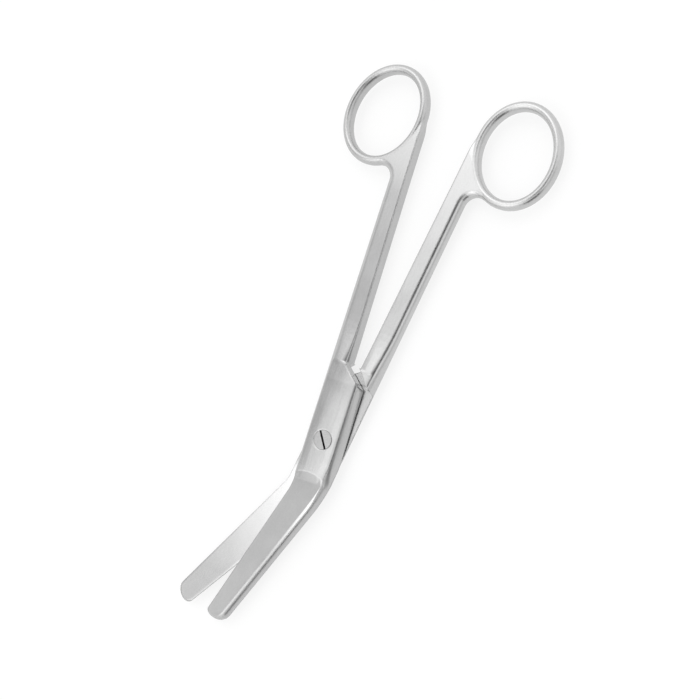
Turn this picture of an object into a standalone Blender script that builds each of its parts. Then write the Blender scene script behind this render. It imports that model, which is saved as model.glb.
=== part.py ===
"""Angled suture scissors: two satin steel halves that turn on a slotted joint screw.

Lengths are in metres and +Z is up. The origin lies on the joint axis, in the plane
that the scissors rest on, and +Y runs from the joint towards the finger rings.

Each half is drawn in its own frame with the scissors closed: X runs from the plane
between the handles out to its own handle, Y runs towards the rings, and Z runs from
the mating plane out to its own outer face.
"""
import math

import bmesh
import bpy
from mathutils import Vector

MM = 0.001

# Joint
REST_OPENING = math.radians(9.6)
PIECE_GAP = 0.3 * MM
PLATE_THICKNESS = 3.4 * MM
PLATE_CROWN = 0.3 * MM
PLATE_FLAT_SHARE = 0.3
PLATE_OUTER_REACH = 7.2 * MM
PLATE_BACK_REACH = 6.6 * MM
PLATE_FLANK = 1.7 * MM
PLATE_FLANK_AT_SHOULDER = 1.25 * MM
SHOULDER_INNER_Y = 24.1 * MM
SHOULDER_SLOPE = math.radians(40.7)
SHOULDER_CLEARANCE = 0.9 * MM
SHOULDER_OVERCUT = 0.03 * MM
RISE_ABOVE_SHOULDER = 14.4 * MM
RISE_BELOW_SHOULDER = 9.6 * MM

# Joint screw
SCREW_HEAD_DIAMETER = 5.8 * MM
SCREW_HEAD_DEPTH = 1.3 * MM
SCREW_HEAD_RIM = 0.15 * MM
SCREW_SHANK_DIAMETER = 3.4 * MM
SCREW_CLEARANCE = 0.08 * MM
SLOT_WIDTH = 0.65 * MM
SLOT_DEPTH = 0.8 * MM
SLOT_ANGLE = math.radians(129.0)

# Shanks
SHANK_THICKNESS = 4.4 * MM
SHANK_WIDTH_AT_JOINT = 6.7 * MM
SHANK_WIDTH_AT_RING = 5.8 * MM
CLOSED_SHANK_GAP = 0.4 * MM
SHANK_OUTER_FLANK = 2.0 * MM
SHANK_INNER_ROUND = 0.55 * MM

# Finger rings
RING_CENTRE_OUT = 14.2 * MM
RING_CENTRE_UP = 98.9 * MM
RING_LONG_RADIUS = 14.5 * MM
RING_SHORT_RADIUS = 12.1 * MM
RING_LEAN = math.radians(13.0)
RING_BAR_WIDTH = 2.9 * MM
RING_BAR_HEIGHT = 4.5 * MM

# The web between shank and ring, and the round corner below the ring
ROOT_FILLET = 3.8 * MM
WEB_TUCK = 0.35 * MM
WEB_THINNING = 0.3 * MM
WEB_FADE = 0.45

# Blades
FRONT_BEND = math.radians(20.9)
REAR_BEND = math.radians(23.2)
FRONT_BEND_SIDE = 0.5 * MM
REAR_BEND_SIDE = -0.6 * MM
BEND_DOWN = 14.3 * MM
BEND_ROUNDING = 4.2 * MM
BEND_CORNER_ROUNDING = 0.8 * MM
BEND_END = 6.0 * MM
FRONT_BLADE_LENGTH = 53.4 * MM
REAR_BLADE_EXTRA = 3.9 * MM
BLADE_HEEL_WIDTH = 12.1 * MM
FRONT_TIP_WIDTH = 7.6 * MM
REAR_TIP_WIDTH = 6.9 * MM
EDGE_INSET = 0.3 * MM
EDGE_THICKNESS = 0.25 * MM
SPINE_HEEL_HEIGHT = 2.9 * MM
SPINE_TIP_HEIGHT = 2.3 * MM
SPINE_HEEL_ROUND = 1.1 * MM
SPINE_TIP_ROUND = 1.8 * MM
RIDGE_START_WIDTH = 0.1 * MM
RIDGE_HEEL_WIDTH = 0.9 * MM
RIDGE_TIP_WIDTH = 0.15 * MM

# Where the grinding runs out on the joint plate, and the crease below the run-out
RUNOUT_DOWN = 12.3 * MM
RUNOUT_BOW = 1.8 * MM
CREASE_DOWN = 13.4 * MM
CREASE_TURN = math.radians(-2.8)

# Blunt tips, with the nose at a share of the width away from the back
FRONT_TIP_BACK_ROUND = 4.6 * MM
FRONT_TIP_EDGE_ROUND = 0.9 * MM
FRONT_TIP_NOSE_SHARE = 0.74
REAR_TIP_BACK_ROUND = 3.1 * MM
REAR_TIP_EDGE_ROUND = 2.2 * MM
REAR_TIP_NOSE_SHARE = 0.57

# Looks of the satin steel
HALF_TONE = 0.62
HALF_ROUGHNESS = 0.34
SCREW_TONE = 0.56
SCREW_ROUGHNESS = 0.3

# Fineness of the faceted surfaces
FLANK_STEPS = 6
FACE_STEPS = 6
WEB_STEPS = 11
NECK_STEPS = 3
ROOT_STEPS = 7
SHANK_STEPS = 3
RISE_STEPS = 7
PLATE_STEPS = 7
BEND_STEPS = 6
BLADE_STEPS = 6
TIP_STEPS = 8
RING_STEPS = 64
BAR_STEPS = 18
TURNED_STEPS = 40
SEARCH_STEPS = 40
SMOOTH_BELOW = math.radians(28.0)

# Roundness of the flanks: 2 is an ellipse, less is flatter, more is squarer
BEVELLED = 1.3
ELLIPSE = 2.0
SQUARE = 4.0

# How far the cutting blocks reach past the metal
CUTTER_REACH = 100.0 * MM

HALF_GAP = PIECE_GAP / 2
HALF_HEIGHT = PLATE_THICKNESS + HALF_GAP
RISE_START = SHOULDER_INNER_Y + RISE_ABOVE_SHOULDER
RING_FOOT = RING_CENTRE_UP - RING_LONG_RADIUS


def clear_scene():
    for item in list(bpy.data.objects):
        bpy.data.objects.remove(item, do_unlink=True)


def mix(low, high, share):
    return low + (high - low) * share


def clamp01(value):
    return min(max(value, 0.0), 1.0)


def ease(value):
    value = clamp01(value)
    return value * value * (3.0 - 2.0 * value)


def shares(count):
    """Evenly spaced shares from 0 to 1."""
    return [step / count for step in range(count + 1)]


def rise(share, roundness):
    """The height share of a rounded flank at a share of its width."""
    return (1.0 - (1.0 - clamp01(share)) ** roundness) ** (1.0 / roundness)


def soft_max(first, second, rounding):
    """The larger of two values, with the corner where they cross rounded off."""
    near = max(rounding - abs(first - second), 0.0) / rounding
    return max(first, second) + near * near * rounding / 4


def steel(name, value, roughness):
    material = bpy.data.materials.new(name)
    material.use_nodes = True
    shader = material.node_tree.nodes["Principled BSDF"]
    shader.inputs["Base Color"].default_value = (value, value, value, 1.0)
    shader.inputs["Metallic"].default_value = 1.0
    shader.inputs["Roughness"].default_value = roughness
    return material


def flank(foot, top, height, roundness):
    """Points of one flank, from its foot in the mating plane up to the face."""
    points = []
    for share in shares(FLANK_STEPS):
        angle = math.pi / 2 * share
        along = 1.0 - max(math.cos(angle), 0.0) ** (2.0 / roundness)
        up = math.sin(angle) ** (2.0 / roundness)
        points.append((mix(foot, top, along), height * up))
    return points


class Section:
    """A cross-section of the blank, even about the mating plane."""

    def __init__(self, centre, turn, back, edge):
        self.centre = centre
        self.across = Vector((math.cos(turn), math.sin(turn), 0.0))
        self.back = back
        self.edge = edge
        self.height = SHANK_THICKNESS / 2
        self.edge_height = None
        self.crown = 0.0
        self.back_flank = SHANK_INNER_ROUND
        self.back_round = SQUARE
        self.edge_flank = SHANK_OUTER_FLANK
        self.edge_round = ELLIPSE
        self.ridge = 0.0
        self.bow = 0.0
        self.limit = None

    def face_start(self):
        return self.back + self.back_flank + self.ridge

    def face_end(self):
        return self.edge - self.edge_flank

    def far_height(self):
        return self.height if self.edge_height is None else self.edge_height

    def level(self, across):
        """Height of the flat face at a place across, without its crown."""
        share = (across - self.face_start()) / (self.face_end() - self.face_start())
        return mix(self.height, self.far_height(), clamp01(share))

    def face(self):
        """Points of the outer face, between its two flanks."""
        points = []
        for step in range(FACE_STEPS):
            share = step / FACE_STEPS if self.ridge else (step + 0.5) / FACE_STEPS
            off = max(abs(2 * share - 1) - PLATE_FLAT_SHARE, 0.0) / (1 - PLATE_FLAT_SHARE)
            across = mix(self.face_start(), self.face_end(), share)
            points.append((across, self.level(across) + self.crown * (1.0 - off * off)))
        return points

    def outline(self):
        """The closed outline as points across and up."""
        back = flank(self.back, self.back + self.back_flank, self.height, self.back_round)
        edge = flank(self.edge, self.edge - self.edge_flank, self.far_height(), self.edge_round)
        upper = back + self.face() + edge[::-1]
        lower = [(across, -up) for across, up in upper[1:-1]]
        return upper + lower[::-1]

    def points(self):
        middle = (self.back + self.edge) / 2
        reach = (self.edge - self.back) / 2
        along = Vector((-self.across.y, self.across.x, 0.0))
        result = []
        for across, up in self.outline():
            off = (across - middle) / reach
            bowed = self.bow * max(1.0 - off * off, 0.0)
            point = self.centre + self.across * across + along * bowed
            if self.limit:
                allowed = self.level(across) * self.limit(across, point)
                up = max(min(up, allowed), -allowed)
            result.append((point.x, point.y, up))
        return result


class Ring:
    """The leaning oval centreline of a finger ring."""

    def __init__(self):
        self.centre = Vector((RING_CENTRE_OUT, RING_CENTRE_UP, 0.0))
        self.long_axis = Vector((-math.sin(RING_LEAN), math.cos(RING_LEAN), 0.0))
        self.short_axis = Vector((math.cos(RING_LEAN), math.sin(RING_LEAN), 0.0))

    def point(self, angle):
        """Angle 0 is the far end of the ring, and pi / 2 its outer side."""
        long_part = self.long_axis * (RING_LONG_RADIUS * math.cos(angle))
        return self.centre + long_part + self.short_axis * (RING_SHORT_RADIUS * math.sin(angle))

    def outward(self, angle):
        long_part = self.long_axis * (RING_SHORT_RADIUS * math.cos(angle))
        return (long_part + self.short_axis * (RING_LONG_RADIUS * math.sin(angle))).normalized()

    def inner_side_angle(self):
        """Where the centreline comes nearest to the other handle."""
        run = RING_SHORT_RADIUS * math.cos(RING_LEAN)
        return 2 * math.pi - math.atan2(run, RING_LONG_RADIUS * math.sin(RING_LEAN))


RING = Ring()
INNER_ANGLE = RING.inner_side_angle()
INNER_POINT = RING.point(INNER_ANGLE)


def inner_edge(y):
    """The flat inner side of the shank, which runs on into the ring's side."""
    start = CLOSED_SHANK_GAP / 2
    end = INNER_POINT.x - RING_BAR_WIDTH / 2
    return mix(start, end, (y - SHOULDER_INNER_Y) / (INNER_POINT.y - SHOULDER_INNER_Y))


def outer_edge(y):
    share = clamp01((y - SHOULDER_INNER_Y) / (RING_FOOT - SHOULDER_INNER_Y))
    return inner_edge(y) + mix(SHANK_WIDTH_AT_JOINT, SHANK_WIDTH_AT_RING, share)


def level_section(y, back, edge):
    return Section(Vector((0.0, y, 0.0)), 0.0, back, edge)


def spanning_section(start_y, end):
    """A section from the flat inner side to a point on the outside."""
    span = end - Vector((inner_edge(start_y), start_y, 0.0))
    return Section(end, math.atan2(span.y, span.x), -span.length, 0.0)


class Root:
    """The round corner that touches the ring's bar and the shank's outer side."""

    def __init__(self):
        low = math.pi
        high = INNER_ANGLE
        for _ in range(SEARCH_STEPS):
            self.settle((low + high) / 2)
            if self.centre.x - ROOT_FILLET > outer_edge(self.centre.y):
                low = self.ring_angle
            else:
                high = self.ring_angle

    def settle(self, ring_angle):
        self.ring_angle = ring_angle
        outward = RING.outward(ring_angle)
        self.centre = RING.point(ring_angle) + outward * (ROOT_FILLET + RING_BAR_WIDTH / 2)
        self.start = math.atan2(-outward.y, -outward.x)
        self.turn = self.start - math.pi / 2

    def section(self, reach, angle, share):
        """A section that ends at a distance and direction from the corner's centre."""
        rim = Vector((math.cos(angle), math.sin(angle), 0.0))
        end = self.centre + rim * reach
        section = spanning_section(self.start_y(end, share), end)
        width = mix(RING_BAR_WIDTH / 2, SHANK_OUTER_FLANK, share)
        full = ROOT_FILLET + width
        along = section.across.dot(rim) * reach
        section.edge_flank = along + math.sqrt(along * along + full * full - reach * reach)
        section.edge_round = mix(SQUARE, ELLIPSE, share)
        section.limit = lambda across, point: self.rounding(point, width)
        return section

    def start_y(self, end, share):
        """Where on the inner side a section starts, so that it misses the corner."""
        return end.y - (end.x - inner_edge(end.y)) * math.tan(mix(self.turn, 0.0, share))

    def rounding(self, point, width):
        return rise(((point - self.centre).length - ROOT_FILLET) / width, ELLIPSE)


ROOT = Root()


def web_sections():
    """From inside the ring's inner side down to the root of the ring."""
    last_y = ROOT.start_y(RING.point(ROOT.ring_angle), 0.0)
    sections = []
    for share in shares(WEB_STEPS):
        point = RING.point(mix(INNER_ANGLE, ROOT.ring_angle, share))
        fade = 1.0 - ease(share / WEB_FADE)
        section = spanning_section(mix(INNER_POINT.y, last_y, share), point)
        section.back += WEB_TUCK * fade
        section.height -= WEB_THINNING * fade
        section.back_flank = mix(SHANK_INNER_ROUND, WEB_TUCK, fade)
        section.back_round = mix(SQUARE, ELLIPSE, fade)
        section.edge_flank = WEB_TUCK
        sections.append(section)
    return sections


def root_sections():
    """Past the ring's bar and round the corner to the shank's outer side."""
    sections = []
    for share in shares(NECK_STEPS)[1:-1]:
        reach = ROOT_FILLET + RING_BAR_WIDTH / 2 * (1.0 - share)
        sections.append(ROOT.section(reach, ROOT.start, 0.0))
    for share in shares(ROOT_STEPS):
        sections.append(ROOT.section(ROOT_FILLET, mix(ROOT.start, math.pi, share), share))
    return sections


def shank_sections(top):
    """The straight shank and its rise to the thicker joint plate."""
    heights = [mix(top, RISE_START, share) for share in shares(SHANK_STEPS)[1:-1]]
    heights += [mix(RISE_START, SHOULDER_INNER_Y, share) for share in shares(RISE_STEPS)]
    sections = []
    for y in heights:
        section = level_section(y, inner_edge(y), outer_edge(y))
        raise_to_plate(section, y)
        section.back_flank = mix(SHANK_INNER_ROUND, PLATE_FLANK_AT_SHOULDER, plate_share(y))
        section.back_round = mix(SQUARE, ELLIPSE, plate_share(y))
        sections.append(section)
    return sections


def plate_share(y):
    """0 on the plain shank and 1 on the full joint plate."""
    return ease((RISE_START - y) / (RISE_ABOVE_SHOULDER + RISE_BELOW_SHOULDER))


def raise_to_plate(section, y):
    share = plate_share(y)
    section.crown = PLATE_CROWN * share
    section.height = mix(SHANK_THICKNESS / 2, HALF_HEIGHT, share) - section.crown
    section.edge_flank = mix(SHANK_OUTER_FLANK, PLATE_FLANK, share)
    section.edge_round = mix(ELLIPSE, BEVELLED, share)


class Blade:
    """The plan of one half below the shoulder, closed, with its in-plane bend."""

    def __init__(self, toward, bend, bend_side, length):
        self.toward = toward
        self.bend = bend
        self.length = length
        self.tip_width = FRONT_TIP_WIDTH if toward > 0 else REAR_TIP_WIDTH
        self.back_round = FRONT_TIP_BACK_ROUND if toward > 0 else REAR_TIP_BACK_ROUND
        self.edge_round = FRONT_TIP_EDGE_ROUND if toward > 0 else REAR_TIP_EDGE_ROUND
        self.nose_share = FRONT_TIP_NOSE_SHARE if toward > 0 else REAR_TIP_NOSE_SHARE
        self.start = Vector((toward * bend_side, -BEND_DOWN, 0.0))
        self.along = Vector((toward * math.sin(bend), -math.cos(bend), 0.0))
        self.across = Vector((math.cos(bend), toward * math.sin(bend), 0.0))

    def side(self, y, sign, inset):
        """The blade's long side as a straight line, read at a height in the plan."""
        heel = self.start + self.across * (sign * (BLADE_HEEL_WIDTH / 2 - inset))
        tip = self.start + self.along * self.length
        tip = tip + self.across * (sign * (self.tip_width / 2 - inset))
        return mix(heel.x, tip.x, (y - heel.y) / (tip.y - heel.y))

    def edge_x(self, y):
        plate = outer_plate_edge(y)
        line = self.side(y, 1.0, EDGE_INSET)
        if self.toward > 0:
            return soft_max(plate, line, BEND_CORNER_ROUNDING)
        return -soft_max(-plate, -line, BEND_ROUNDING)

    def back_x(self, y):
        line = self.side(y, -1.0, 0.0)
        if self.toward > 0:
            return soft_max(-PLATE_BACK_REACH, line, BEND_ROUNDING)
        return -soft_max(PLATE_BACK_REACH, -line, BEND_CORNER_ROUNDING)

    def section(self, centre, turn):
        """A section whose two ends lie on the plan's sides."""
        ends = []
        for side in (self.back_x, self.edge_x):
            reach = 0.0
            for _ in range(SEARCH_STEPS):
                y = centre.y + reach * math.sin(turn)
                reach = (side(y) - centre.x) / math.cos(turn)
            ends.append(reach)
        return Section(centre, turn, ends[0], ends[1])

    def straight_section(self, along):
        section = self.section(self.start + self.along * along, self.toward * self.bend)
        dress_as_blade(section, along / self.length)
        return section


def outer_plate_edge(y):
    share = clamp01((SHOULDER_INNER_Y - y) / SHOULDER_INNER_Y)
    return mix(outer_edge(SHOULDER_INNER_Y), PLATE_OUTER_REACH, share)


def shoulder_y(x):
    """The oblique shoulder where the shank's full thickness starts."""
    return SHOULDER_INNER_Y - (x - CLOSED_SHANK_GAP / 2) * math.tan(SHOULDER_SLOPE)


def chamfer_y(x):
    """The plate's cut corner, which clears the other half's shoulder."""
    return shoulder_y(-x) - SHOULDER_CLEARANCE / math.cos(SHOULDER_SLOPE)


def plate_sections(blade):
    """The lap plate, from the shoulder down to where the grinding runs out."""
    sections = []
    for share in shares(PLATE_STEPS):
        y = mix(chamfer_y(0.0), -RUNOUT_DOWN, share)
        section = level_section(y, blade.back_x(y), blade.edge_x(y))
        dress_as_plate(section, y)
        section.bow = RUNOUT_BOW * max(2.0 * share - 1.0, 0.0)
        sections.append(section)
    return sections


def dress_as_plate(section, y):
    raise_to_plate(section, y)
    share = ease((SHOULDER_INNER_Y - y) / SHOULDER_INNER_Y)
    section.back_flank = mix(PLATE_FLANK_AT_SHOULDER, PLATE_FLANK, share)
    section.back_round = BEVELLED


def dress_as_blade(section, share):
    """The flat-ground blade: a round spine, a thin ridge and a long bevel to the edge."""
    share = clamp01(share)
    section.height = mix(SPINE_HEEL_HEIGHT, SPINE_TIP_HEIGHT, share) + HALF_GAP
    section.edge_height = EDGE_THICKNESS + HALF_GAP
    section.back_flank = mix(SPINE_HEEL_ROUND, SPINE_TIP_ROUND, share)
    section.back_round = ELLIPSE
    section.edge_flank = EDGE_THICKNESS
    section.edge_round = ELLIPSE
    section.ridge = mix(RIDGE_HEEL_WIDTH, RIDGE_TIP_WIDTH, share)


def bend_sections(blade):
    """The sections that turn from the straight crease into the blade's own direction."""
    first = Vector((0.0, -CREASE_DOWN, 0.0))
    last = blade.start + blade.along * BEND_END
    sections = []
    for share in shares(BEND_STEPS):
        turn = blade.toward * mix(CREASE_TURN, blade.bend, share)
        section = blade.section(first.lerp(last, share), turn)
        dress_as_blade(section, share * BEND_END / blade.length)
        section.back_flank = mix(PLATE_FLANK, section.back_flank, ease(share))
        section.ridge = mix(RIDGE_START_WIDTH, section.ridge, ease(share))
        sections.append(section)
    return sections


def blade_sections(blade):
    straight = blade.length - blade.back_round
    return [blade.straight_section(mix(BEND_END, straight, share))
            for share in shares(BLADE_STEPS)[1:]]


def tip_sections(blade):
    """The blunt tip, rounded in plan on both sides and domed all round its end."""
    sections = []
    for share in shares(TIP_STEPS)[1:-1]:
        angle = math.pi / 2 * math.sin(math.pi / 2 * share)
        sections.append(tip_section(blade, blade.back_round * (1.0 - math.sin(angle))))
    return sections


def tip_section(blade, left):
    """The section at a distance left to the end of the blade."""
    whole = blade.straight_section(blade.length - left)
    section = blade.straight_section(blade.length - left)
    nose = mix(whole.back, whole.edge, blade.nose_share)
    section.back = mix(nose, whole.back, rise(left / blade.back_round, ELLIPSE))
    section.edge = mix(nose, whole.edge, rise(left / blade.edge_round, ELLIPSE))
    width = section.edge - section.back
    narrowing = width / (whole.edge - whole.back)
    section.back_flank = min(whole.back_flank, width / 2)
    section.edge_flank *= narrowing
    section.ridge *= narrowing
    section.height = whole.level(section.face_start())
    section.edge_height = whole.level(section.face_end())

    def dome(across, point):
        """The height share at a place, by how far it is from the outline."""
        if across < nose:
            spread = (nose - across) / (nose - whole.back)
            room = left - end_inset(blade.back_round, spread)
            room /= math.hypot(1.0, room / max(across - section.back, EDGE_THICKNESS * narrowing))
        else:
            spread = (across - nose) / (whole.edge - nose)
            room = left - end_inset(blade.edge_round, spread)
        return rise(room / SPINE_TIP_ROUND, ELLIPSE)

    section.limit = dome
    return section


def end_inset(rounding, spread):
    """How far a rounded end draws back at a share of the way from nose to side."""
    return rounding * (1.0 - math.sqrt(1.0 - clamp01(spread) ** 2))


def mesh_object(name, rings, closed, place):
    """A skin over rings of points, either joined end to end or capped."""
    work = bmesh.new()
    loops = [[work.verts.new(place(point)) for point in ring] for ring in rings]
    count = len(loops[0])
    pairs = list(zip(loops, loops[1:]))
    if closed:
        pairs.append((loops[-1], loops[0]))
    for first, second in pairs:
        for number in range(count):
            after = (number + 1) % count
            work.faces.new((first[number], first[after], second[after], second[number]))
    if not closed:
        work.faces.new(loops[0])
        work.faces.new(loops[-1])
    bmesh.ops.recalc_face_normals(work, faces=work.faces)
    mesh = bpy.data.meshes.new(name)
    work.to_mesh(mesh)
    work.free()
    made = bpy.data.objects.new(name, mesh)
    bpy.context.collection.objects.link(made)
    return made


def combine(item, tool, operation):
    """Joins or cuts with another object, which stays as a hidden guide."""
    tool.hide_render = True
    tool.display_type = "WIRE"
    tool.parent = item
    modifier = item.modifiers.new(tool.name, "BOOLEAN")
    modifier.operation = operation
    modifier.solver = "EXACT"
    modifier.object = tool


def ring_loops():
    """Loops of points around the bar, all the way round the finger ring."""
    loops = []
    for step in range(RING_STEPS):
        angle = 2 * math.pi * step / RING_STEPS
        centre = RING.point(angle)
        outward = RING.outward(angle)
        loop = []
        for part in range(BAR_STEPS):
            turn = 2 * math.pi * part / BAR_STEPS
            point = centre + outward * (RING_BAR_WIDTH / 2 * math.cos(turn))
            loop.append((point.x, point.y, RING_BAR_HEIGHT / 2 * math.sin(turn)))
        loops.append(loop)
    return loops


def turned_loops(profile):
    loops = []
    for radius, height in profile:
        loop = []
        for step in range(TURNED_STEPS):
            angle = 2 * math.pi * step / TURNED_STEPS
            loop.append((radius * math.cos(angle), radius * math.sin(angle), height))
        loops.append(loop)
    return loops


def block_loops(plan, bottom, top):
    return [[(x, y, z) for x, y in plan] for z in (bottom, top)]


def lap_plan():
    """Everything below the shoulder."""
    far = CUTTER_REACH
    return [(-far, -far), (far, -far), (far, shoulder_y(far)), (-far, shoulder_y(-far))]


def corner_plan():
    """Everything above the plate's cut corner, on the other handle's side."""
    far = CUTTER_REACH
    near = CLOSED_SHANK_GAP / 2 + SHOULDER_OVERCUT
    inner = [(near, chamfer_y(near)), (near, SHOULDER_INNER_Y), (0.0, far)]
    return inner + [(-far, far), (-far, chamfer_y(-far))]


def bore_profile(has_head):
    """Radius and height of the screw's hole in a half, from the mating side outwards."""
    wide = SCREW_SHANK_DIAMETER / 2 + SCREW_CLEARANCE
    outside = HALF_HEIGHT + PLATE_CROWN
    if not has_head:
        return [(wide, -HALF_HEIGHT), (wide, outside)]
    head = SCREW_HEAD_DIAMETER / 2 + SCREW_CLEARANCE
    seat = HALF_HEIGHT - SCREW_HEAD_DEPTH - SCREW_CLEARANCE
    rim = HALF_HEIGHT - SCREW_HEAD_RIM - SCREW_CLEARANCE
    return [(wide, -HALF_HEIGHT), (wide, seat), (head, rim), (head, outside)]


def make_half(name, side, blade, material):
    """side is -1 for the front half, with its handle at -X, and 1 for the rear half."""

    def place(point):
        return (side * point[0], point[1], HALF_HEIGHT - side * point[2])

    sections = web_sections()
    sections += root_sections()
    sections += shank_sections(sections[-1].centre.y)
    sections += plate_sections(blade)
    sections += bend_sections(blade)
    sections += blade_sections(blade)
    sections += tip_sections(blade)
    half = mesh_object(name, [section.points() for section in sections], False, place)
    half.data.materials.append(material)

    ring = mesh_object(name + "_ring_form", ring_loops(), True, place)
    shade(ring)
    combine(half, ring, "UNION")
    above = 2 * HALF_HEIGHT
    cutters = (
        ("lap", block_loops(lap_plan(), -above, HALF_GAP)),
        ("corner", block_loops(corner_plan(), -above, above)),
        ("bore", turned_loops(bore_profile(side < 0))),
    )
    for label, loops in cutters:
        cutter = mesh_object(name + "_" + label + "_cut", loops, False, place)
        combine(half, cutter, "DIFFERENCE")

    half.rotation_euler.z = -side * REST_OPENING / 2
    shade(half)


def make_screw(material):
    """A countersunk slotted screw, flush in the front half and fixed in the rear."""
    head = SCREW_HEAD_DIAMETER / 2
    shaft = SCREW_SHANK_DIAMETER / 2
    top = 2 * HALF_HEIGHT
    seat = top - SCREW_HEAD_DEPTH
    profile = [(shaft, 0.0), (shaft, seat), (head, top - SCREW_HEAD_RIM), (head, top)]
    screw = mesh_object("joint_screw", turned_loops(profile), False, tuple)
    screw.data.materials.append(material)

    long = SCREW_HEAD_DIAMETER
    wide = SLOT_WIDTH / 2
    plan = [(-long, -wide), (long, -wide), (long, wide), (-long, wide)]
    loops = block_loops(plan, top - SLOT_DEPTH, top + SLOT_DEPTH)
    slot = mesh_object("joint_screw_slot_cut", loops, False, tuple)
    slot.rotation_euler.z = SLOT_ANGLE
    combine(screw, slot, "DIFFERENCE")
    shade(screw)


def shade(item):
    item.data.shade_smooth()
    item.data.set_sharp_from_angle(angle=SMOOTH_BELOW)


def main():
    clear_scene()
    rear_length = FRONT_BLADE_LENGTH + REAR_BLADE_EXTRA
    rear = Blade(-1, REAR_BEND, REAR_BEND_SIDE, rear_length)
    make_half("rear_half", 1, rear, steel("rear steel", HALF_TONE, HALF_ROUGHNESS))
    front = Blade(1, FRONT_BEND, FRONT_BEND_SIDE, FRONT_BLADE_LENGTH)
    make_half("front_half", -1, front, steel("front steel", HALF_TONE, HALF_ROUGHNESS))
    make_screw(steel("screw steel", SCREW_TONE, SCREW_ROUGHNESS))


main()
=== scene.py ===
"""Studio scene for the angled suture scissors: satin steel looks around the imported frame.

Lengths are in metres, in the frame of the CAD model: the joint's axis stands at the origin, X runs
across the scissors, Y from the blades towards the finger rings, and Z up.
"""
import math
from collections import namedtuple

import bpy
from mathutils import Matrix, Vector


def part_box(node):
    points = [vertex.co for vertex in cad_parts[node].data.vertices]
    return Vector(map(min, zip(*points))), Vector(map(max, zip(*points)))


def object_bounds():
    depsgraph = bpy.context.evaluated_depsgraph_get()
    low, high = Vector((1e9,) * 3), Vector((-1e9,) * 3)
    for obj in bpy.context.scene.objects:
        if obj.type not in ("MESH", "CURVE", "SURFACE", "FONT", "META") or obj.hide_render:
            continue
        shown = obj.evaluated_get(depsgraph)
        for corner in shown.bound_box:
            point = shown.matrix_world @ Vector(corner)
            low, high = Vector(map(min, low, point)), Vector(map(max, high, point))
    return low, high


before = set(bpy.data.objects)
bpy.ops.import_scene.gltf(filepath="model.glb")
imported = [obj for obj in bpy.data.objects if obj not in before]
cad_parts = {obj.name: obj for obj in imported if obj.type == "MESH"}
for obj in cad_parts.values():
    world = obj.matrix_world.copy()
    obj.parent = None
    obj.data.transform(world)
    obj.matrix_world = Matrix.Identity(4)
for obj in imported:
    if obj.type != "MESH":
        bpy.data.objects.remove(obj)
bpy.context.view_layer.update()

MM = 0.001
UP = Vector((0.0, 0.0, 1.0))

# Camera: where it stands, what it looks at, and how far it is rolled about its view
CAMERA_PLACE = Vector((0.15134, 0.04978, 0.30482))
CAMERA_AIM = Vector((-0.00623, 0.02726, 0.0))
CAMERA_ROLL = math.radians(-75.53)
CAMERA_LENS = 58.28
CAMERA_SENSOR_WIDTH = 36.0
CAMERA_CLIP_START = 10.0 * MM

# Floor, a little below the lowest metal, and how strongly it glows where it is seen or mirrored
FLOOR_DROP = 0.05 * MM
FLOOR_SIZE = 6.0
FLOOR_TONE = 0.22
FLOOR_GLOW = 0.78

# Sky: its level all round, its least level, and the level that the camera itself sees
SKY_LEVEL = 1.12
SKY_LEAST = 0.02
SKY_SEEN = 1.0

# Soft round cards in the sky. Each has its direction, the angles in degrees from there within
# which it is full and beyond which it ends, and the change that it makes to the sky's level.
SKY_CARDS = {
    "upper_soft_light": ((-0.30, 0.43, 0.85), 6.0, 29.0, 0.95),
    "lower_soft_light": ((-0.20, -0.48, 0.86), 6.0, 28.0, 0.95),
    "left_shade": ((-0.62, -0.28, 0.73), 6.0, 28.0, -0.36),
    "camera_shade": ((0.19, -0.03, 0.98), 12.0, 28.0, -1.1),
    "right_light": ((0.76, -0.05, 0.65), 4.0, 20.0, 0.15),
    "low_right_shade": ((0.98, -0.05, 0.20), 5.0, 26.0, -0.40),
    "low_corner_shade": ((0.70, -0.65, 0.30), 6.0, 27.0, -1.05),
}

# Each piece's steel: the direction of its brushing, its tone and roughness, and the radius that
# rounds its edges in the shading. At rest each half is turned by half of the opening.
REST_TURN = math.radians(4.8)
SLOT_TURN = math.radians(60.0)
Steel = namedtuple("Steel", "turn tone roughness edge_radius")
FRONT_STEEL = Steel(turn=-REST_TURN, tone=0.51, roughness=0.24, edge_radius=0.65 * MM)
REAR_STEEL = Steel(turn=REST_TURN, tone=0.56, roughness=0.24, edge_radius=0.65 * MM)
SCREW_STEEL = Steel(turn=SLOT_TURN, tone=0.50, roughness=0.26, edge_radius=0.12 * MM)

# Patterns in the steel: how fine each noise is, and the middle part of it that is used
BRUSHING_SCALE = (7000.0, 260.0, 7000.0)
BRUSHING_DETAIL = 3.0
CLOUDS_SCALE = 120.0
CLOUDS_DETAIL = 4.0
GRAIN_SCALE = 2600.0
GRAIN_DETAIL = 2.0
NOISE_SPAN = (0.3, 0.7)

# Worn edges: the cosine of the shading's bend at which wear starts and at which it is full
WEAR_SPAN = (0.98, 0.75)
EDGE_SAMPLES = 6

# What the patterns do: the clouds by a share of the whole value, the others by an amount
CLOUDS_IN_TONE = 0.03
STREAKS_IN_TONE = 0.012
SPECKS_IN_TONE = 0.015
WEAR_IN_TONE = 0.05
CLOUDS_IN_ROUGHNESS = 0.08
STREAKS_IN_ROUGHNESS = 0.015
WEAR_IN_ROUGHNESS = -0.05

# Fine relief of the brushing and the grain
BRUSHING_IN_RELIEF = 0.5
RELIEF_STRENGTH = 0.03
RELIEF_DEPTH = 0.02 * MM

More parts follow.
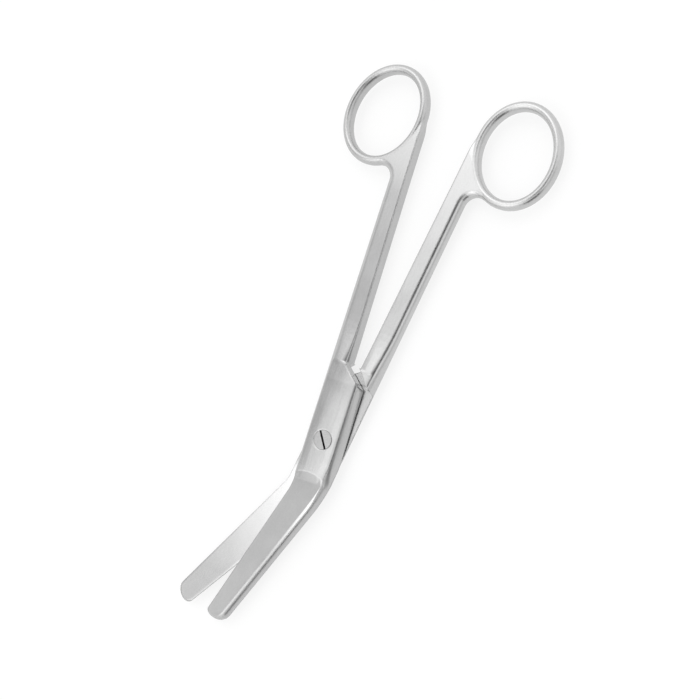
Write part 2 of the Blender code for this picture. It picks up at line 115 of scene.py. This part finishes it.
# Zones along the halves, as values of Y: where each starts and where it is full
BLADE_START = (-8.0 * MM, -12.0 * MM)
RIDGE_START = (-12.4 * MM, -14.4 * MM)
PLATE_FOOT = (-14.0 * MM, -11.0 * MM)
PLATE_HEAD = (26.0 * MM, 21.0 * MM)
SHANK_FOOT = (4.0 * MM, 26.0 * MM)
SHANK_HEAD = (90.0 * MM, 74.0 * MM)

# Faces that look up: the cosine at which a face starts to count and at which it counts in full
FLAT_TOP = (0.97, 0.995)
RIDGE_TOP = (0.985, 0.997)

# Painted shade on the front shank's flat top, and the front blade's added roughness
SHANK_PAINTED_SHADE = -0.08
BLADE_ROUGHNESS_CHANGE = 0.09

# Painted reflection on the plate's flat top: darker on one side of a slanting line through this place,
# brighter on the other
PAINTED_REFLECTION_PLACE = Vector((-3.2 * MM, 0.0, 0.0))
PAINTED_REFLECTION_ACROSS = Vector((1.0, -0.1, 0.0))
PAINTED_REFLECTION_FADE = (-1.8 * MM, 1.8 * MM)
PAINTED_REFLECTION_CHANGES = (-0.035, 0.06)

# A painted dark line along the plate, standing in for reflected shade where its flat top turns over into
# the flank
PAINTED_SHADE_LINE_ACROSS = Vector((math.cos(REST_TURN), math.sin(REST_TURN), 0.0))
PAINTED_SHADE_LINE_REACH = 4.95 * MM
PAINTED_SHADE_LINE_FADE = (0.5 * MM, 0.1 * MM)
PAINTED_SHADE_LINE_CHANGE = -0.25

# A painted highlight on the front blade's ridge, brighter towards the heel
RIDGE_HIGHLIGHT_FADE = (-42.0 * MM, -15.0 * MM)
RIDGE_HIGHLIGHT_CHANGE = 0.4

# A painted reflection on the rear blade's ground inner face, darker near the tip and bright at the heel
GROUND_FACE_REFLECTION_FADE = (-52.0 * MM, -14.0 * MM)
GROUND_FACE_REFLECTION_CHANGES = (-0.1, 0.38)

# Painted shade in the screw's slot: the depths below its head at which it starts and is full
SLOT_SHADE_DEPTHS = (0.12 * MM, 0.20 * MM)
SLOT_PAINTED_SHADE = -0.46


class Nodes:
    """A small helper that adds shader nodes and links them in one call."""

    def __init__(self, tree):
        self.tree = tree

    def add(self, kind, inputs=None, **settings):
        node = self.tree.nodes.new(kind)
        for name, value in settings.items():
            setattr(node, name, value)
        for name, value in (inputs or {}).items():
            self.feed(node, name, value)
        return node

    def feed(self, node, name, value):
        """Links a socket, and sets any other value on the input itself."""
        if isinstance(value, bpy.types.NodeSocket):
            self.tree.links.new(value, node.inputs[name])
        else:
            node.inputs[name].default_value = value

    def math(self, operation, first, second=0.0, third=0.0, clamp=False):
        inputs = {0: first, 1: second, 2: third}
        node = self.add("ShaderNodeMath", inputs, operation=operation, use_clamp=clamp)
        return node.outputs[0]

    def range(self, value, low, high, to_low=0.0, to_high=1.0, smooth=True):
        kind = "SMOOTHSTEP" if smooth else "LINEAR"
        inputs = {"Value": value, "From Min": low, "From Max": high, "To Min": to_low, "To Max": to_high}
        return self.add("ShaderNodeMapRange", inputs, interpolation_type=kind).outputs[0]

    def dot(self, first, second):
        inputs = {0: first, 1: second}
        return self.add("ShaderNodeVectorMath", inputs, operation="DOT_PRODUCT").outputs["Value"]

    def component(self, vector, axis):
        return self.add("ShaderNodeSeparateXYZ", {"Vector": vector}).outputs[axis]

    def noise(self, place, scale, detail):
        inputs = {"Vector": place, "Scale": scale, "Detail": detail}
        return self.add("ShaderNodeTexNoise", inputs).outputs["Fac"]


def new_material(name):
    material = bpy.data.materials.new(name)
    material.use_nodes = True
    tree = material.node_tree
    tree.nodes.clear()
    return material, Nodes(tree)


def grey(value):
    return (value, value, value, 1.0)


def varied(nodes, middle, clouds, clouds_share, amounts, change):
    """A value that drifts with the clouds, plus an amount of each pattern and the zones' change."""
    low, high = middle * (1 - clouds_share), middle * (1 + clouds_share)
    value = nodes.range(clouds, *NOISE_SPAN, low, high)
    for pattern, amount in amounts:
        value = nodes.math("MULTIPLY_ADD", pattern, amount, value)
    return nodes.math("ADD", value, change, clamp=True)


def steel_material(name, steel, zones):
    """Satin surgical steel: fine lengthwise brushing, cloudy polish, grain and worn edges.

    The zones function gives the change of tone and of roughness from place to place; its tone changes
    are painted shade, reflections and highlights.
    """
    material, nodes = new_material(name)
    place = nodes.add("ShaderNodeTexCoord").outputs["Object"]
    turn = (0.0, 0.0, steel.turn)
    turned = nodes.add("ShaderNodeMapping", {"Vector": place, "Rotation": turn}).outputs[0]
    lengthwise = nodes.add("ShaderNodeMapping", {"Vector": turned, "Scale": BRUSHING_SCALE}).outputs[0]
    brushing = nodes.noise(lengthwise, 1.0, BRUSHING_DETAIL)
    clouds = nodes.noise(turned, CLOUDS_SCALE, CLOUDS_DETAIL)
    grain = nodes.noise(turned, GRAIN_SCALE, GRAIN_DETAIL)
    streaks = nodes.range(brushing, *NOISE_SPAN, -1.0, 1.0)
    specks = nodes.range(grain, *NOISE_SPAN, -1.0, 1.0)

    edge = {"Radius": steel.edge_radius}
    rounded = nodes.add("ShaderNodeBevel", edge, samples=EDGE_SAMPLES).outputs[0]
    flat = nodes.add("ShaderNodeNewGeometry").outputs["Normal"]
    wear = nodes.range(nodes.dot(rounded, flat), *WEAR_SPAN)

    tone_change, roughness_change = zones(nodes, place, flat)
    amounts = [(streaks, STREAKS_IN_TONE), (specks, SPECKS_IN_TONE), (wear, WEAR_IN_TONE)]
    tone = varied(nodes, steel.tone, clouds, CLOUDS_IN_TONE, amounts, tone_change)
    amounts = [(streaks, STREAKS_IN_ROUGHNESS), (wear, WEAR_IN_ROUGHNESS)]
    roughness = varied(nodes, steel.roughness, clouds, CLOUDS_IN_ROUGHNESS, amounts, roughness_change)

    relief = nodes.math("MULTIPLY_ADD", brushing, BRUSHING_IN_RELIEF, grain)
    bump = nodes.add("ShaderNodeBump", {
        "Height": relief, "Normal": rounded,
        "Strength": RELIEF_STRENGTH, "Distance": RELIEF_DEPTH}).outputs[0]
    shader = nodes.add("ShaderNodeBsdfPrincipled", {
        "Base Color": tone, "Metallic": 1.0, "Roughness": roughness, "Normal": bump})
    nodes.add("ShaderNodeOutputMaterial", {"Surface": shader.outputs[0]})
    return material


def facing_up(nodes, flat, span):
    """1 on faces that look straight up and 0 on those that lean, with a soft step between."""
    return nodes.range(nodes.dot(flat, UP), *span)


def stretch(nodes, along, foot, head):
    """1 within a stretch of the length and 0 beyond it, with soft ends."""
    return nodes.math("MULTIPLY", nodes.range(along, *foot), nodes.range(along, *head))


def painted_shank_shade(nodes, along, flat_top):
    """Painted shade on the shank's flat face, a little darker."""
    shank_shade = nodes.math("MULTIPLY", stretch(nodes, along, SHANK_FOOT, SHANK_HEAD), flat_top)
    return nodes.math("MULTIPLY", shank_shade, SHANK_PAINTED_SHADE)


def painted_plate_light(nodes, place, along, flat_top):
    """A painted reflection across the plate's flat top, and a painted dark line at the edge of its flat
    top.
    """
    middle = PAINTED_REFLECTION_PLACE.dot(PAINTED_REFLECTION_ACROSS)
    across = nodes.math("SUBTRACT", nodes.dot(place, PAINTED_REFLECTION_ACROSS), middle)
    painted_reflection = nodes.range(across, *PAINTED_REFLECTION_FADE, *PAINTED_REFLECTION_CHANGES)
    painted_reflection = nodes.math("MULTIPLY", painted_reflection, flat_top)
    off_line = nodes.math("SUBTRACT", nodes.dot(place, PAINTED_SHADE_LINE_ACROSS), PAINTED_SHADE_LINE_REACH)
    off_line = nodes.math("ABSOLUTE", off_line)
    shade_line = nodes.range(off_line, *PAINTED_SHADE_LINE_FADE, 0.0, PAINTED_SHADE_LINE_CHANGE)
    plate = stretch(nodes, along, PLATE_FOOT, PLATE_HEAD)
    return nodes.math("MULTIPLY", plate, nodes.math("ADD", painted_reflection, shade_line))


def painted_ridge_highlight(nodes, along, flat):
    """A painted highlight on the blade's thin ridge, brighter towards the heel."""
    top = facing_up(nodes, flat, RIDGE_TOP)
    ridge_highlight = nodes.math("MULTIPLY", nodes.range(along, *RIDGE_START), top)
    return nodes.math("MULTIPLY", ridge_highlight, nodes.range(along, *RIDGE_HIGHLIGHT_FADE, 0.0, RIDGE_HIGHLIGHT_CHANGE))


def front_zones(nodes, place, flat):
    """Painted shade on the front half's shank, a painted reflection and dark line on its plate, a
    painted highlight on its ridge; its blade is duller.
    """
    along = nodes.component(place, "Y")
    flat_top = facing_up(nodes, flat, FLAT_TOP)
    shank_shade = painted_shank_shade(nodes, along, flat_top)
    plate = painted_plate_light(nodes, place, along, flat_top)
    ridge_highlight = painted_ridge_highlight(nodes, along, flat)
    tone_change = nodes.math("ADD", nodes.math("ADD", shank_shade, plate), ridge_highlight)
    return tone_change, nodes.range(along, *BLADE_START, 0.0, BLADE_ROUGHNESS_CHANGE)


def rear_zones(nodes, place, flat):
    """A painted reflection on the blade's ground inner face, bright at the heel and darker towards the
    tip.
    """
    along = nodes.component(place, "Y")
    face_reflection = nodes.range(along, *GROUND_FACE_REFLECTION_FADE, *GROUND_FACE_REFLECTION_CHANGES, smooth=False)
    flat_top = facing_up(nodes, flat, FLAT_TOP)
    blade = nodes.math("MULTIPLY", nodes.range(along, *BLADE_START), flat_top)
    return nodes.math("MULTIPLY", face_reflection, blade), 0.0


def screw_zones(nodes, place, flat):
    """Painted shade: nearly black in the slot."""
    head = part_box("joint_screw")[1][2]
    start, full = (head - depth for depth in SLOT_SHADE_DEPTHS)
    return nodes.range(nodes.component(place, "Z"), start, full, 0.0, SLOT_PAINTED_SHADE), 0.0


def dress(node_name, material):
    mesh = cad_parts[node_name].data
    mesh.materials.clear()
    mesh.materials.append(material)
    mesh.polygons.foreach_set("material_index", [0] * len(mesh.polygons))


def floor_material():
    """Matt under the studio's light, with a glow that only seen and mirrored rays meet."""
    material, nodes = new_material("pale_floor")
    rays = nodes.add("ShaderNodeLightPath").outputs
    seen = nodes.math("MAXIMUM", rays["Is Camera Ray"], rays["Is Glossy Ray"])
    seen = nodes.math("MAXIMUM", seen, rays["Is Transmission Ray"])
    matt = nodes.add("ShaderNodeBsdfDiffuse", {"Color": grey(FLOOR_TONE)})
    glow = nodes.add("ShaderNodeEmission", {"Strength": nodes.math("MULTIPLY", seen, FLOOR_GLOW)})
    both = nodes.add("ShaderNodeAddShader", {0: matt.outputs[0], 1: glow.outputs[0]})
    nodes.add("ShaderNodeOutputMaterial", {"Surface": both.outputs[0]})
    return material


def make_floor():
    """A pale floor that shows white to the camera and keeps a soft contact shadow."""
    half = FLOOR_SIZE / 2
    corners = [(-half, -half, 0.0), (half, -half, 0.0), (half, half, 0.0), (-half, half, 0.0)]
    mesh = bpy.data.meshes.new("floor")
    mesh.from_pydata(corners, [], [(0, 1, 2, 3)])
    mesh.materials.append(floor_material())
    floor = bpy.data.objects.new("floor", mesh)
    floor.location.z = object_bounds()[0][2] - FLOOR_DROP
    bpy.context.scene.collection.objects.link(floor)


def card_change(nodes, direction, toward, inner, outer, change):
    """The change of level that one soft round card makes."""
    near = nodes.dot(direction, Vector(toward).normalized())
    ends, full = math.cos(math.radians(outer)), math.cos(math.radians(inner))
    return nodes.range(near, ends, full, 0.0, change)


def make_world():
    """A pale studio with soft cards; a camera ray that misses the floor sees plain white."""
    world = bpy.data.worlds.new("studio")
    bpy.context.scene.world = world
    world.use_nodes = True
    world.node_tree.nodes.clear()
    nodes = Nodes(world.node_tree)
    direction = nodes.add("ShaderNodeTexCoord").outputs["Generated"]
    level = SKY_LEVEL
    for card in SKY_CARDS.values():
        level = nodes.math("ADD", level, card_change(nodes, direction, *card))
    level = nodes.math("MAXIMUM", level, SKY_LEAST)
    camera_ray = nodes.add("ShaderNodeLightPath").outputs["Is Camera Ray"]
    level = nodes.range(camera_ray, 0.0, 1.0, level, SKY_SEEN, smooth=False)
    sky = nodes.add("ShaderNodeBackground", {"Color": grey(1.0), "Strength": level})
    nodes.add("ShaderNodeOutputWorld", {"Surface": sky.outputs[0]})


def make_camera():
    data = bpy.data.cameras.new("camera")
    data.lens = CAMERA_LENS
    data.sensor_width = CAMERA_SENSOR_WIDTH
    data.clip_start = CAMERA_CLIP_START
    camera = bpy.data.objects.new("camera", data)
    back = (CAMERA_PLACE - CAMERA_AIM).normalized()
    level = UP.cross(back).normalized()
    up = back.cross(level)
    right = level * math.cos(CAMERA_ROLL) + up * math.sin(CAMERA_ROLL)
    top = back.cross(right)
    turn = Matrix((right, top, back)).transposed().to_4x4()
    camera.matrix_world = Matrix.Translation(CAMERA_PLACE) @ turn
    bpy.context.scene.collection.objects.link(camera)
    bpy.context.scene.camera = camera


def main():
    bpy.context.scene.view_settings.view_transform = "Standard"
    make_camera()
    make_floor()
    make_world()
    dress("front_half", steel_material("front_satin_steel", FRONT_STEEL, front_zones))
    dress("rear_half", steel_material("rear_satin_steel", REAR_STEEL, rear_zones))
    dress("joint_screw", steel_material("screw_satin_steel", SCREW_STEEL, screw_zones))


main()
